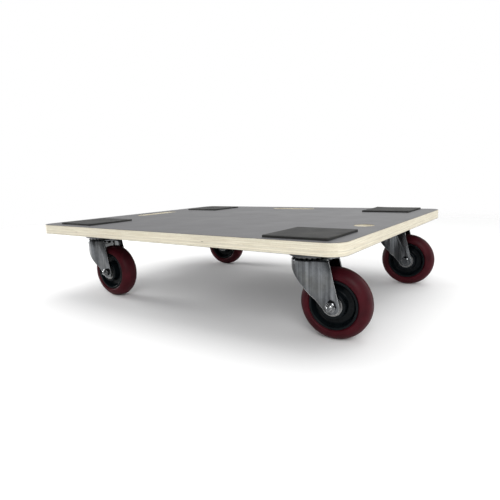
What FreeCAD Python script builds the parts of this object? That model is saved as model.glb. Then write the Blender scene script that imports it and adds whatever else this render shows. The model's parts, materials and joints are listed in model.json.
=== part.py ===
import FreeCAD, Part
import math
import os
import Sketcher

# Platform trolley: a film-faced plywood deck with two hand holes, a round hole
# for a pull rope and four glued rubber pads, carried on four swivel casters.
# +X runs along the deck, +Y across it and +Z up. The origin lies on the floor,
# below the centre of the deck.

doc = FreeCAD.newDocument("platform_trolley")
dims = doc.addObject("Spreadsheet::Sheet", "dims")

DRIVING_DIMENSIONS = (
    # deck
    ("deck_length", 630.0),
    ("deck_width", 510.0),
    ("deck_thickness", 17.0),
    ("film_thickness", 0.4),
    ("deck_corner", 23.0),
    ("deck_height", 129.0),
    ("handhole_length", 112.0),
    ("handhole_width", 30.0),
    ("handhole_inset", 45.0),
    ("left_handhole_offset", 9.0),
    ("back_handhole_offset", -9.0),
    ("rope_hole", 15.5),
    ("rope_hole_inset", 40.0),
    ("rope_hole_offset", 77.0),
    # rubber pads near the corners
    ("pad_length", 93.0),
    ("pad_width", 96.0),
    ("pad_thickness", 3.0),
    ("pad_corner", 2.0),
    ("pad_bevel", 0.6),
    ("front_left_pad_inset_x", 87.5),
    ("front_left_pad_inset_y", 67.5),
    ("front_right_pad_inset_x", 68.5),
    ("front_right_pad_inset_y", 60.0),
    ("back_left_pad_inset_x", 89.0),
    ("back_left_pad_inset_y", 89.0),
    ("back_right_pad_inset_x", 83.5),
    ("back_right_pad_inset_y", 56.0),
    # swivel caster, measured down from the underside of the deck
    ("caster_inset_x", 79.5),
    ("caster_inset_y", 80.0),
    ("trail", 37.0),
    ("axle_drop", 79.0),
    ("plate_length", 100.0),
    ("plate_width", 80.0),
    ("plate_corner", 9.0),
    ("plate_thickness", 3.0),
    ("screw_spacing_x", 80.0),
    ("screw_spacing_y", 60.0),
    ("screw_shank", 3.0),
    ("screw_hole", 3.5),
    ("screw_head", 5.0),
    ("screw_head_height", 4.2),
    ("screw_flange", 7.0),
    ("screw_flange_height", 1.2),
    ("screw_depth", 13.5),
    ("cup_mouth", 36.0),
    ("cup_foot", 29.5),
    ("cup_drop", 13.5),
    ("kingpin_shank", 6.0),
    ("kingpin_hole", 6.05),
    ("kingpin_head", 11.0),
    ("kingpin_head_crown", 7.7),
    ("kingpin_head_height", 4.0),
    ("kingpin_tail", 9.0),
    ("kingpin_tail_tip", 5.4),
    ("kingpin_tail_height", 3.0),
    ("upper_race", 21.0),
    ("upper_ball", 3.0),
    ("lower_race", 13.0),
    ("lower_ball", 2.5),
    ("ball_clearance", 0.1),
    ("ring_outer", 17.5),
    ("ring_drop", 23.5),
    ("ring_thickness", 3.5),
    # pressed fork
    ("sheet", 2.8),
    ("crown_radius", 26.5),
    ("crown_drop", 17.3),
    ("crown_shoulder", 2.4),
    ("crown_tail", 33.5),
    ("crown_scallop", 34.0),
    ("crown_scallop_depth", 6.0),
    ("leg_half_width", 22.0),
    ("leg_crease", 3.0),
    ("leg_end", 11.5),
    ("fork_front_drop", 26.0),
    ("fork_overrun", 20.0),
    ("cut_margin", 1.0),
    ("cut_overrun", 5.0),
    # axle
    ("axle_shank", 4.0),
    ("axle_hole", 4.25),
    ("axle_hexagon", 7.5),
    ("axle_crown_drop", 1.16),
    ("axle_head_height", 5.3),
    ("axle_nut_height", 6.8),
    ("axle_end", 3.2),
    ("axle_chamfer", 0.8),
    ("sleeve_radius", 6.0),
    # wheel
    ("wheel_radius", 50.0),
    ("wheel_half_width", 16.0),
    ("tread_shoulder", 13.5),
    ("tread_inner", 34.5),
    ("hub_lip", 32.0),
    ("hub_lip_half_width", 15.0),
    ("hub_lip_chamfer", 1.0),
    ("hub_dish", 28.5),
    ("hub_web_half_width", 5.0),
    ("hub_dish_foot", 3.0),
    ("hub_dish_rise", 2.0),
    ("hub_boss", 18.0),
    ("hub_boss_half_width", 18.0),
    ("hub_boss_chamfer", 0.8),
    ("hub_boss_foot", 2.5),
    ("hub_fillet", 1.0),
    ("bearing_outer", 14.0),
    ("bearing_inner", 6.05),
    ("bearing_width", 8.0),
    ("bearing_cage_inner", 8.2),
    ("bearing_cage_outer", 11.8),
    ("bearing_seal_recess", 0.6),
    ("hub_bore", 9.0),
)

for row, (alias, value) in enumerate(DRIVING_DIMENSIONS, 1):
    cell = "B%d" % row
    dims.set("A%d" % row, alias)
    dims.set(cell, str(value))
    dims.setAlias(cell, alias)
doc.recompute()

# Corner name: sign along X, sign along Y, and the way the wheel trails,
# in degrees from +X towards +Y.
CORNERS = {
    "front_left": (-1, -1, 1.0),
    "front_right": (1, -1, 5.0),
    "back_left": (-1, 1, 6.0),
    "back_right": (1, 1, 3.0),
}
UPPER_BALLS = 20
LOWER_BALLS = 14
X_AXIS = FreeCAD.Vector(1, 0, 0)
Z_AXIS = FreeCAD.Vector(0, 0, 1)
subparts = []


def number(expression):
    return float(dims.evalExpression(expression))


def new_body(label):
    body = doc.addObject("PartDesign::Body", label)
    body.Label = label
    subparts.append(body)
    return body


def origin_feature(body, role):
    return next(f for f in body.Origin.OriginFeatures if f.Role == role)


def attach(feature, body, plane="XY_Plane", height=None):
    feature.AttachmentSupport = [(origin_feature(body, plane), "")]
    feature.MapMode = "FlatFace"
    if height is not None:
        feature.setExpression("AttachmentOffset.Base.z", height)


def new_sketch(body, plane="XY_Plane", height=None):
    sketch = body.newObject("Sketcher::SketchObject", body.Name + "_sketch")
    attach(sketch, body, plane, height)
    return sketch


def bind(sketch, constraint, expression):
    index = sketch.addConstraint(constraint)
    sketch.setExpression("Constraints[%d]" % index, expression)


def hold_point(sketch, geometry, point, place):
    """Tie one point of a sketch to an (x, y) pair of expressions."""
    kinds = ("DistanceX", "DistanceY")
    axes = (-2, -1)
    for kind, axis, expression in zip(kinds, axes, place):
        value = number(expression)
        if abs(value) < 1e-9:
            sketch.addConstraint(Sketcher.Constraint("PointOnObject", geometry, point, axis))
        else:
            bind(sketch, Sketcher.Constraint(kind, -1, 1, geometry, point, value), expression)


def add_polygon(sketch, corners):
    """Closed outline of straight lines; each corner is a pair of expressions."""
    points = [FreeCAD.Vector(number(x), number(y), 0) for x, y in corners]
    lines = []
    for start, end in zip(points, points[1:] + points[:1]):
        lines.append(sketch.addGeometry(Part.LineSegment(start, end)))
    for line, following in zip(lines, lines[1:] + lines[:1]):
        sketch.addConstraint(Sketcher.Constraint("Coincident", line, 2, following, 1))
    for line, place in zip(lines, corners):
        hold_point(sketch, line, 1, place)


def add_circle(sketch, centre, radius):
    middle = FreeCAD.Vector(number(centre[0]), number(centre[1]), 0)
    circle = sketch.addGeometry(Part.Circle(middle, Z_AXIS, number(radius)))
    hold_point(sketch, circle, 3, centre)
    bind(sketch, Sketcher.Constraint("Radius", circle, number(radius)), radius)


def add_rounded_rectangle(sketch, centre, length, width, radius):
    """Rectangle with rounded corners, drawn anticlockwise from its lower right corner."""
    half_x, half_y, corner = number(length) / 2, number(width) / 2, number(radius)
    middle = FreeCAD.Vector(number(centre[0]), number(centre[1]), 0)
    arcs = []
    arc_centres = []
    for quarter, (sx, sy) in enumerate(((1, -1), (1, 1), (-1, 1), (-1, -1))):
        arc_centre = middle + FreeCAD.Vector(sx * (half_x - corner), sy * (half_y - corner), 0)
        circle = Part.Circle(arc_centre, Z_AXIS, corner)
        start = (quarter - 1) * math.pi / 2
        arcs.append(sketch.addGeometry(Part.ArcOfCircle(circle, start, start + math.pi / 2)))
        place = (
            "%s + %d * ((%s) / 2 - %s)" % (centre[0], sx, length, radius),
            "%s + %d * ((%s) / 2 - %s)" % (centre[1], sy, width, radius),
        )
        arc_centres.append(place)
    for arc, following in zip(arcs, arcs[1:] + arcs[:1]):
        end = sketch.getPoint(arc, 2)
        start = sketch.getPoint(following, 1)
        line = sketch.addGeometry(Part.LineSegment(end, start))
        sketch.addConstraint(Sketcher.Constraint("Tangent", arc, 2, line, 1))
        sketch.addConstraint(Sketcher.Constraint("Tangent", line, 2, following, 1))
    for arc, place in zip(arcs, arc_centres):
        hold_point(sketch, arc, 3, place)
        bind(sketch, Sketcher.Constraint("Radius", arc, corner), radius)


def add_slot(sketch, centre, along_x):
    """Hand hole outline: two half circles joined by straight sides."""
    radius = number("dims.handhole_width / 2")
    reach = number("(dims.handhole_length - dims.handhole_width) / 2")
    direction = X_AXIS if along_x else FreeCAD.Vector(0, 1, 0)
    middle = FreeCAD.Vector(number(centre[0]), number(centre[1]), 0)
    turn = 0.0 if along_x else math.pi / 2
    arcs = []
    for side in (1, -1):
        circle = Part.Circle(middle + direction * (side * reach), Z_AXIS, radius)
        start = turn - side * math.pi / 2
        arc = sketch.addGeometry(Part.ArcOfCircle(circle, start, start + math.pi))
        shift = " + %d * (dims.handhole_length - dims.handhole_width) / 2" % side
        place = [centre[0], centre[1]]
        place[0 if along_x else 1] += shift
        arcs.append((arc, place))
    for (arc, _), (following, _) in zip(arcs, arcs[::-1]):
        line = sketch.addGeometry(
            Part.LineSegment(sketch.getPoint(arc, 2), sketch.getPoint(following, 1))
        )
        sketch.addConstraint(Sketcher.Constraint("Tangent", arc, 2, line, 1))
        sketch.addConstraint(Sketcher.Constraint("Tangent", line, 2, following, 1))
    for arc, place in arcs:
        hold_point(sketch, arc, 3, place)
        bind(sketch, Sketcher.Constraint("Radius", arc, radius), "dims.handhole_width / 2")


def pad_up(body, sketch, length):
    pad = body.newObject("PartDesign::Pad", body.Name + "_pad")
    pad.Profile = sketch
    pad.setExpression("Length", length)
    return pad


def pocket_both_ways(body, sketch, length):
    pocket = body.newObject("PartDesign::Pocket", body.Name + "_pocket")
    pocket.Profile = sketch
    pocket.Midplane = True
    pocket.setExpression("Length", length)
    return pocket


def turned(body, sketch, kind="PartDesign::Revolution"):
    """Turn a sketch on the XZ plane once round the body's Z axis."""
    feature = body.newObject(kind, body.Name + "_turned")
    feature.Profile = sketch
    feature.ReferenceAxis = (origin_feature(body, "Z_Axis"), [""])
    feature.Angle = 360.0
    return feature


def turned_section(body, corners, kind="PartDesign::Revolution"):
    sketch = new_sketch(body, "XZ_Plane")
    add_polygon(sketch, corners)
    return turned(body, sketch, kind)


def ball_groove(body, race, drop, ball):
    """Ring-shaped groove that a row of balls rolls in."""
    sketch = new_sketch(body, "XZ_Plane")
    add_circle(sketch, (race, "-(%s)" % drop), "%s + dims.ball_clearance" % ball)
    return turned(body, sketch, "PartDesign::Groove")


def repeat(body, features, steps):
    """Repeat features by a chain of two-place linear patterns."""
    pattern = body.newObject("PartDesign::MultiTransform", body.Name + "_places")
    pattern.Originals = features
    parts = []
    for axis, length in steps:
        step = body.newObject("PartDesign::LinearPattern", body.Name + "_step")
        step.Direction = (origin_feature(body, axis), [""])
        step.setExpression("Length", length)
        step.Occurrences = 2
        parts.append(step)
    pattern.Transformations = parts
    body.Tip = pattern


SCREW_STEPS = (
    ("X_Axis", "dims.screw_spacing_x"),
    ("Y_Axis", "dims.screw_spacing_y"),
    ("X_Axis", "dims.deck_length - 2 * dims.caster_inset_x"),
    ("Y_Axis", "dims.deck_width - 2 * dims.caster_inset_y"),
)
FIRST_SCREW = (
    "-dims.deck_length / 2 + dims.caster_inset_x - dims.screw_spacing_x / 2",
    "-dims.deck_width / 2 + dims.caster_inset_y - dims.screw_spacing_y / 2",
)


# ---------------------------------------------------------------- the deck


def deck_layer(label, thickness, height, screw_holes):
    """One layer of the deck, with its hand and rope holes and the pilot holes."""
    body = new_body(label)
    outline = new_sketch(body)
    add_rounded_rectangle(
        outline, ("0", "0"), "dims.deck_length", "dims.deck_width", "dims.deck_corner"
    )
    pad_up(body, outline, thickness)
    slots = new_sketch(body)
    left_place = ("-dims.deck_length / 2 + dims.handhole_inset", "dims.left_handhole_offset")
    add_slot(slots, left_place, along_x=False)
    back_place = ("dims.back_handhole_offset", "dims.deck_width / 2 - dims.handhole_inset")
    add_slot(slots, back_place, along_x=True)
    rope_place = ("dims.deck_length / 2 - dims.rope_hole_inset", "-dims.rope_hole_offset")
    add_circle(slots, rope_place, "dims.rope_hole")
    pocket_both_ways(body, slots, "4 * dims.deck_thickness")
    if screw_holes:
        drill = new_sketch(body)
        add_circle(drill, FIRST_SCREW, "dims.screw_shank")
        hole = pocket_both_ways(body, drill, "2 * (%s)" % screw_holes)
        repeat(body, [hole], SCREW_STEPS)
    body.setExpression("Placement.Base.z", height)


def rubber_pad(label, side_x, side_y):
    body = new_body(label)
    outline = new_sketch(body)
    add_rounded_rectangle(
        outline, ("0", "0"), "dims.pad_length", "dims.pad_width", "dims.pad_corner"
    )
    pad = pad_up(body, outline, "dims.pad_thickness")
    doc.recompute()
    top = max(pad.Shape.Faces, key=lambda face: face.CenterOfMass.z)
    rim = []
    for index, edge in enumerate(pad.Shape.Edges, 1):
        if any(edge.isSame(other) for other in top.Edges):
            rim.append("Edge%d" % index)
    bevel = body.newObject("PartDesign::Chamfer", label + "_bevel")
    bevel.Base = (pad, rim)
    bevel.setExpression("Size", "dims.pad_bevel")
    body.setExpression(
        "Placement.Base.x", "%d * (dims.deck_length / 2 - dims.%s_inset_x)" % (side_x, label)
    )
    body.setExpression(
        "Placement.Base.y", "%d * (dims.deck_width / 2 - dims.%s_inset_y)" % (side_y, label)
    )
    body.setExpression("Placement.Base.z", "dims.deck_height + dims.deck_thickness")


def plate_screws():
    """Hexagon flange screws that hold the caster plates to the deck, sixteen alike."""
    body = new_body("plate_screws")
    body.AllowCompound = True
    flange = body.newObject("PartDesign::AdditiveCylinder", "screw_flange")
    attach(flange, body)
    flange.setExpression("Radius", "dims.screw_flange")
    flange.setExpression("Height", "dims.screw_flange_height")
    head = body.newObject("PartDesign::AdditivePrism", "screw_head")
    attach(head, body)
    head.Polygon = 6
    head.setExpression("Circumradius", "dims.screw_head / cos(30)")
    head.setExpression("Height", "dims.screw_head_height")
    shank = body.newObject("PartDesign::AdditiveCylinder", "screw_shank")
    attach(shank, body)
    shank.setExpression("Radius", "dims.screw_shank")
    shank.setExpression("Height", "dims.plate_thickness + dims.screw_depth - dims.screw_shank")
    tip = body.newObject("PartDesign::AdditiveCone", "screw_tip")
    attach(tip, body)
    tip.setExpression("Radius1", "dims.screw_shank")
    tip.setExpression("Radius2", "dims.screw_shank / 6")
    tip.setExpression("Height", "dims.screw_shank")
    for feature in (flange, head, shank, tip):
        feature.setExpression("AttachmentOffset.Base.x", FIRST_SCREW[0])
        feature.setExpression("AttachmentOffset.Base.y", FIRST_SCREW[1])
    flange.setExpression("AttachmentOffset.Base.z", "-dims.screw_flange_height")
    head.setExpression("AttachmentOffset.Base.z", "-dims.screw_head_height")
    tip.setExpression(
        "AttachmentOffset.Base.z", "dims.plate_thickness + dims.screw_depth - dims.screw_shank"
    )
    repeat(body, [flange, head, shank, tip], SCREW_STEPS)
    body.setExpression("Placement.Base.z", "dims.deck_height - dims.plate_thickness")


# --------------------------------------------------------------- a caster

# Each caster piece is drawn in the caster's own frame: origin on the swivel
# axis at the underside of the deck, +X the way the wheel trails, +Z up.


def set_on_caster(body, corner, turned_with_fork=True):
    side_x, side_y, heading = CORNERS[corner]
    body.Placement.Rotation = FreeCAD.Rotation(Z_AXIS, heading if turned_with_fork else 0.0)
    body.setExpression(
        "Placement.Base.x", "%d * (dims.deck_length / 2 - dims.caster_inset_x)" % side_x
    )
    body.setExpression(
        "Placement.Base.y", "%d * (dims.deck_width / 2 - dims.caster_inset_y)" % side_y
    )
    body.setExpression("Placement.Base.z", "dims.deck_height")


def top_plate(corner):
    """Pressed mounting plate; its cup carries the upper ball race."""
    body = new_body(corner + "_top_plate")
    outline = new_sketch(body, height="-dims.plate_thickness")
    add_rounded_rectangle(
        outline, ("0", "0"), "dims.plate_length", "dims.plate_width", "dims.plate_corner"
    )
    pad_up(body, outline, "dims.plate_thickness")
    turned_section(
        body,
        (
            ("0", "-dims.plate_thickness / 2"),
            ("dims.cup_mouth", "-dims.plate_thickness / 2"),
            ("dims.cup_mouth", "-dims.plate_thickness"),
            ("dims.cup_foot", "-dims.cup_drop"),
            ("0", "-dims.cup_drop"),
        ),
    )
    turned_section(
        body,
        (
            ("0", "1"),
            ("dims.cup_mouth - dims.plate_thickness / 2", "1"),
            ("dims.cup_mouth - dims.plate_thickness / 2", "0"),
            ("dims.cup_foot - dims.plate_thickness", "-dims.cup_drop + dims.plate_thickness"),
            ("0", "-dims.cup_drop + dims.plate_thickness"),
        ),
        "PartDesign::Groove",
    )
    ball_groove(body, "dims.upper_race", UPPER_BALL_DROP, "dims.upper_ball")
    holes = new_sketch(body)
    add_circle(holes, ("0", "0"), "dims.kingpin_shank")
    for side_x in (-1, 1):
        for side_y in (-1, 1):
            place = (
                "%d * dims.screw_spacing_x / 2" % side_x,
                "%d * dims.screw_spacing_y / 2" % side_y,
            )
            add_circle(holes, place, "dims.screw_hole")
    pocket_both_ways(body, holes, "4 * dims.cup_drop")
    set_on_caster(body, corner, turned_with_fork=False)


def kingpin(corner):
    """Rivet that holds the plate and the lower race ring together."""
    body = new_body(corner + "_kingpin")
    head_foot = "-dims.cup_drop + dims.plate_thickness"
    tail_top = "-dims.ring_drop - dims.ring_thickness"
    turned_section(
        body,
        (
            ("0", head_foot + " + dims.kingpin_head_height"),
            ("dims.kingpin_head_crown", head_foot + " + dims.kingpin_head_height"),
            ("dims.kingpin_head", head_foot + " + dims.kingpin_head_height / 3"),
            ("dims.kingpin_head", head_foot),
            ("dims.kingpin_shank", head_foot),
            ("dims.kingpin_shank", tail_top),
            ("dims.kingpin_tail", tail_top),
            ("dims.kingpin_tail_tip", tail_top + " - dims.kingpin_tail_height"),
            ("0", tail_top + " - dims.kingpin_tail_height"),
        ),
    )
    set_on_caster(body, corner, turned_with_fork=False)


def lower_race_ring(corner):
    """Ring under the fork's crown that carries the lower ball race."""
    body = new_body(corner + "_lower_race_ring")
    foot = "-dims.ring_drop - dims.ring_thickness"
    turned_section(
        body,
        (
            ("dims.kingpin_shank", "-dims.ring_drop"),
            ("dims.ring_outer", "-dims.ring_drop"),
            ("dims.ring_outer", foot + " + dims.ring_thickness / 3"),
            ("dims.ring_outer - dims.ring_thickness / 3", foot),
            ("dims.kingpin_shank", foot),
        ),
    )
    ball_groove(body, "dims.lower_race", LOWER_BALL_DROP, "dims.lower_ball")
    set_on_caster(body, corner, turned_with_fork=False)


UPPER_BALL_DROP = "(dims.cup_drop + dims.crown_drop) / 2"
LOWER_BALL_DROP = "(dims.crown_drop + dims.sheet + dims.ring_drop) / 2"


def ball_row(label, corner, race, drop, ball, count):
    body = new_body(corner + label)
    body.AllowCompound = True
    sphere = body.newObject("PartDesign::AdditiveSphere", body.Name + "_ball")
    attach(sphere, body)
    sphere.setExpression("Radius", ball)
    sphere.setExpression("AttachmentOffset.Base.x", race)
    sphere.setExpression("AttachmentOffset.Base.z", "-(%s)" % drop)
    row_of_balls = body.newObject("PartDesign::PolarPattern", body.Name + "_row")
    row_of_balls.Originals = [sphere]
    row_of_balls.Axis = (origin_feature(body, "Z_Axis"), [""])
    row_of_balls.Angle = 360.0
    row_of_balls.Occurrences = count
    body.Tip = row_of_balls
    set_on_caster(body, corner)


def fork_plan(sketch, inward, tail):
    """Plan of the fork: the crown's arc, a soft crease and two straight legs."""
    radius = number("dims.crown_radius - " + inward)
    side = number("dims.leg_half_width - " + inward)
    crease = number("dims.leg_crease + " + inward)
    end = number(tail)
    crease_y = side + crease
    crease_x = math.sqrt((radius + crease) ** 2 - crease_y**2)
    angle = math.atan2(crease_y, crease_x)
    crown = sketch.addGeometry(
        Part.ArcOfCircle(
            Part.Circle(FreeCAD.Vector(0, 0, 0), Z_AXIS, radius), angle, 2 * math.pi - angle
        )
    )
    lower = sketch.addGeometry(
        Part.ArcOfCircle(
            Part.Circle(FreeCAD.Vector(crease_x, -crease_y, 0), Z_AXIS, crease),
            math.pi / 2,
            math.pi - angle,
        )
    )
    upper = sketch.addGeometry(
        Part.ArcOfCircle(
            Part.Circle(FreeCAD.Vector(crease_x, crease_y, 0), Z_AXIS, crease),
            math.pi + angle,
            1.5 * math.pi,
        )
    )
    corners = (
        FreeCAD.Vector(crease_x, -side, 0),
        FreeCAD.Vector(end, -side, 0),
        FreeCAD.Vector(end, side, 0),
        FreeCAD.Vector(crease_x, side, 0),
    )
    right, back, left = (
        sketch.addGeometry(Part.LineSegment(start, finish))
        for start, finish in zip(corners, corners[1:])
    )
    joints = (
        ("Tangent", crown, 2, lower, 2),
        ("Tangent", lower, 1, right, 1),
        ("Coincident", right, 2, back, 1),
        ("Coincident", back, 2, left, 1),
        ("Tangent", left, 2, upper, 2),
        ("Tangent", upper, 1, crown, 1),
    )
    for joint in joints:
        sketch.addConstraint(Sketcher.Constraint(*joint))
    sketch.addConstraint(Sketcher.Constraint("Coincident", crown, 3, -1, 1))
    sketch.addConstraint(Sketcher.Constraint("Horizontal", right))
    sketch.addConstraint(Sketcher.Constraint("Horizontal", left))
    bind(sketch, Sketcher.Constraint("Radius", crown, radius), "dims.crown_radius - " + inward)
    for arc in (lower, upper):
        bind(sketch, Sketcher.Constraint("Radius", arc, crease), "dims.leg_crease + " + inward)
    hold_point(sketch, back, 1, (tail, "-(dims.leg_half_width - %s)" % inward))
    hold_point(sketch, back, 2, (tail, "dims.leg_half_width - " + inward))


def tangent_point(start, centre, radius, side):
    """Point where a line from start touches a circle."""
    dx, dy = centre[0] - start[0], centre[1] - start[1]
    distance = math.hypot(dx, dy)
    direction = math.atan2(dy, dx) + side * math.asin(radius / distance)
    length = math.sqrt(distance**2 - radius**2)
    return FreeCAD.Vector(
        start[0] + length * math.cos(direction), start[1] + length * math.sin(direction), 0
    )


def add_fork_profile(sketch):
    """Side view of the fork: level crown, slanted edges and a round end at the axle."""
    ahead = "-dims.crown_radius - dims.cut_margin"
    above = "-dims.crown_drop + dims.cut_margin"
    head = FreeCAD.Vector(number(ahead), number(above), 0)
    nose = FreeCAD.Vector(number(ahead), number("-dims.fork_front_drop"), 0)
    tail = FreeCAD.Vector(number("dims.crown_tail"), number(above), 0)
    centre = FreeCAD.Vector(number("dims.trail"), number("-dims.axle_drop"), 0)
    radius = number("dims.leg_end")
    front_touch = tangent_point(nose, centre, radius, -1)
    back_touch = tangent_point(tail, centre, radius, 1)
    front_angle = math.atan2(front_touch.y - centre.y, front_touch.x - centre.x)
    back_angle = math.atan2(back_touch.y - centre.y, back_touch.x - centre.x)
    top = sketch.addGeometry(Part.LineSegment(head, tail))
    back = sketch.addGeometry(Part.LineSegment(tail, back_touch))
    end = sketch.addGeometry(
        Part.ArcOfCircle(Part.Circle(centre, Z_AXIS, radius), front_angle, back_angle)
    )
    front = sketch.addGeometry(Part.LineSegment(front_touch, nose))
    rise = sketch.addGeometry(Part.LineSegment(nose, head))
    joints = (
        ("Coincident", top, 2, back, 1),
        ("Tangent", back, 2, end, 2),
        ("Tangent", end, 1, front, 1),
        ("Coincident", front, 2, rise, 1),
        ("Coincident", rise, 2, top, 1),
    )
    for joint in joints:
        sketch.addConstraint(Sketcher.Constraint(*joint))
    hold_point(sketch, top, 1, (ahead, above))
    hold_point(sketch, top, 2, ("dims.crown_tail", above))
    hold_point(sketch, rise, 1, (ahead, "-dims.fork_front_drop"))
    hold_point(sketch, end, 3, ("dims.trail", "-dims.axle_drop"))
    bind(sketch, Sketcher.Constraint("Radius", end, radius), "dims.leg_end")


def fork(corner):
    """Pressed sheet fork: crown above the wheel and a leg on each side of it."""
    body = new_body(corner + "_fork")
    tail = "dims.trail + dims.leg_end + dims.fork_overrun"
    foot = "-dims.axle_drop - dims.leg_end - dims.fork_overrun"
    outside = new_sketch(body, height=foot)
    fork_plan(outside, "0", tail)
    block = pad_up(body, outside, "-(%s) - dims.crown_drop" % foot)
    doc.recompute()
    rim = []
    for index, edge in enumerate(block.Shape.Edges, 1):
        box = edge.BoundBox
        at_top = abs(box.ZMin + number("dims.crown_drop")) < 1e-6 and box.ZLength < 1e-6
        if at_top and box.XMin < number(tail) - 1e-3:
            rim.append("Edge%d" % index)
    shoulder = body.newObject("PartDesign::Fillet", body.Name + "_shoulder")
    shoulder.Base = (block, rim)
    shoulder.setExpression("Radius", "dims.crown_shoulder")
    inside = new_sketch(body, height=foot)
    fork_plan(inside, "dims.sheet", tail + " + dims.cut_overrun")
    hollow = body.newObject("PartDesign::Pocket", body.Name + "_hollow")
    hollow.Profile = inside
    hollow.Reversed = True
    hollow.setExpression("Length", "-(%s) - dims.crown_drop - dims.sheet" % foot)
    side_view = new_sketch(body, "XZ_Plane")
    add_polygon(
        side_view,
        (
            ("-2 * dims.crown_radius", "-dims.crown_drop + dims.cut_overrun"),
            (tail + " + 2 * dims.cut_overrun", "-dims.crown_drop + dims.cut_overrun"),
            (tail + " + 2 * dims.cut_overrun", foot + " - 2 * dims.cut_overrun"),
            ("-2 * dims.crown_radius", foot + " - 2 * dims.cut_overrun"),
        ),
    )
    add_fork_profile(side_view)
    pocket_both_ways(body, side_view, "4 * dims.leg_half_width")
    scallop = new_sketch(body)
    add_circle(
        scallop,
        ("dims.crown_tail + dims.crown_scallop - dims.crown_scallop_depth", "0"),
        "dims.crown_scallop",
    )
    scoop = body.newObject("PartDesign::Pocket", body.Name + "_scallop")
    scoop.Profile = scallop
    scoop.setExpression("Length", "dims.crown_drop + dims.sheet + dims.cut_margin")
    bore = new_sketch(body)
    add_circle(bore, ("0", "0"), "dims.kingpin_hole")
    pocket_both_ways(body, bore, "4 * dims.crown_drop")
    axle_bore = new_sketch(body, "XZ_Plane")
    add_circle(axle_bore, ("dims.trail", "-dims.axle_drop"), "dims.axle_shank")
    pocket_both_ways(body, axle_bore, "4 * dims.leg_half_width")
    ball_groove(body, "dims.upper_race", UPPER_BALL_DROP, "dims.upper_ball")
    ball_groove(body, "dims.lower_race", LOWER_BALL_DROP, "dims.lower_ball")
    set_on_caster(body, corner)


# Pieces on the axle are drawn with +Z along the axle, towards the back of the
# trolley, and the wheel's middle plane at Z = 0.


def set_on_axle(body, corner, flipped=False):
    side_x, side_y, heading = CORNERS[corner]
    across = FreeCAD.Rotation(X_AXIS, 90.0 if flipped else -90.0)
    body.Placement.Rotation = FreeCAD.Rotation(Z_AXIS, heading) * across
    swivel_x = "%d * (dims.deck_length / 2 - dims.caster_inset_x)" % side_x
    swivel_y = "%d * (dims.deck_width / 2 - dims.caster_inset_y)" % side_y
    body.setExpression("Placement.Base.x", "%s + dims.trail * cos(%g)" % (swivel_x, heading))
    body.setExpression("Placement.Base.y", "%s + dims.trail * sin(%g)" % (swivel_y, heading))
    body.setExpression("Placement.Base.z", "dims.deck_height - dims.axle_drop")


def hexagon(body, height, low):
    prism = body.newObject("PartDesign::AdditivePrism", body.Name + "_hexagon")
    attach(prism, body, height=low)
    prism.Polygon = 6
    prism.setExpression("Circumradius", "dims.axle_hexagon")
    prism.setExpression("Height", height)


def hexagon_crown(body, face, inward):
    """Cone cut that rounds a hexagon's points at its outer face."""
    turned_section(
        body,
        (
            ("dims.axle_hexagon * cos(30)", face),
            ("dims.axle_hexagon + dims.cut_margin", face),
            ("dims.axle_hexagon + dims.cut_margin", "%s + %g * dims.axle_crown_drop" % (face, inward)),
        ),
        "PartDesign::Groove",
    )


def axle_bolt(corner):
    body = new_body(corner + "_axle_bolt")
    hexagon(body, "dims.axle_head_height", "dims.leg_half_width")
    hexagon_crown(body, "dims.leg_half_width + dims.axle_head_height", -1)
    far_end = "-dims.leg_half_width - dims.axle_nut_height - dims.axle_end"
    turned_section(
        body,
        (
            ("0", far_end),
            ("dims.axle_shank - dims.axle_chamfer", far_end),
            ("dims.axle_shank", far_end + " + dims.axle_chamfer"),
            ("dims.axle_shank", "dims.leg_half_width + dims.cut_margin"),
            ("0", "dims.leg_half_width + dims.cut_margin"),
        ),
    )
    set_on_axle(body, corner, flipped=corner == "back_right")


def axle_nut(corner):
    body = new_body(corner + "_axle_nut")
    face = "-dims.leg_half_width - dims.axle_nut_height"
    hexagon(body, "dims.axle_nut_height", face)
    hexagon_crown(body, face, 1)
    thread = new_sketch(body)
    add_circle(thread, ("0", "0"), "dims.axle_shank")
    pocket_both_ways(body, thread, "4 * dims.leg_half_width")
    set_on_axle(body, corner, flipped=corner == "back_right")


def axle_sleeve(corner):
    """Tube between the legs that the bolt clamps and the bearings run on."""
    body = new_body(corner + "_axle_sleeve")
    low = "-dims.leg_half_width + dims.sheet"
    section = new_sketch(body, height=low)
    add_circle(section, ("0", "0"), "dims.sleeve_radius")
    add_circle(section, ("0", "0"), "dims.axle_hole")
    pad_up(body, section, "-2 * (%s)" % low)
    set_on_axle(body, corner)


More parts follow.
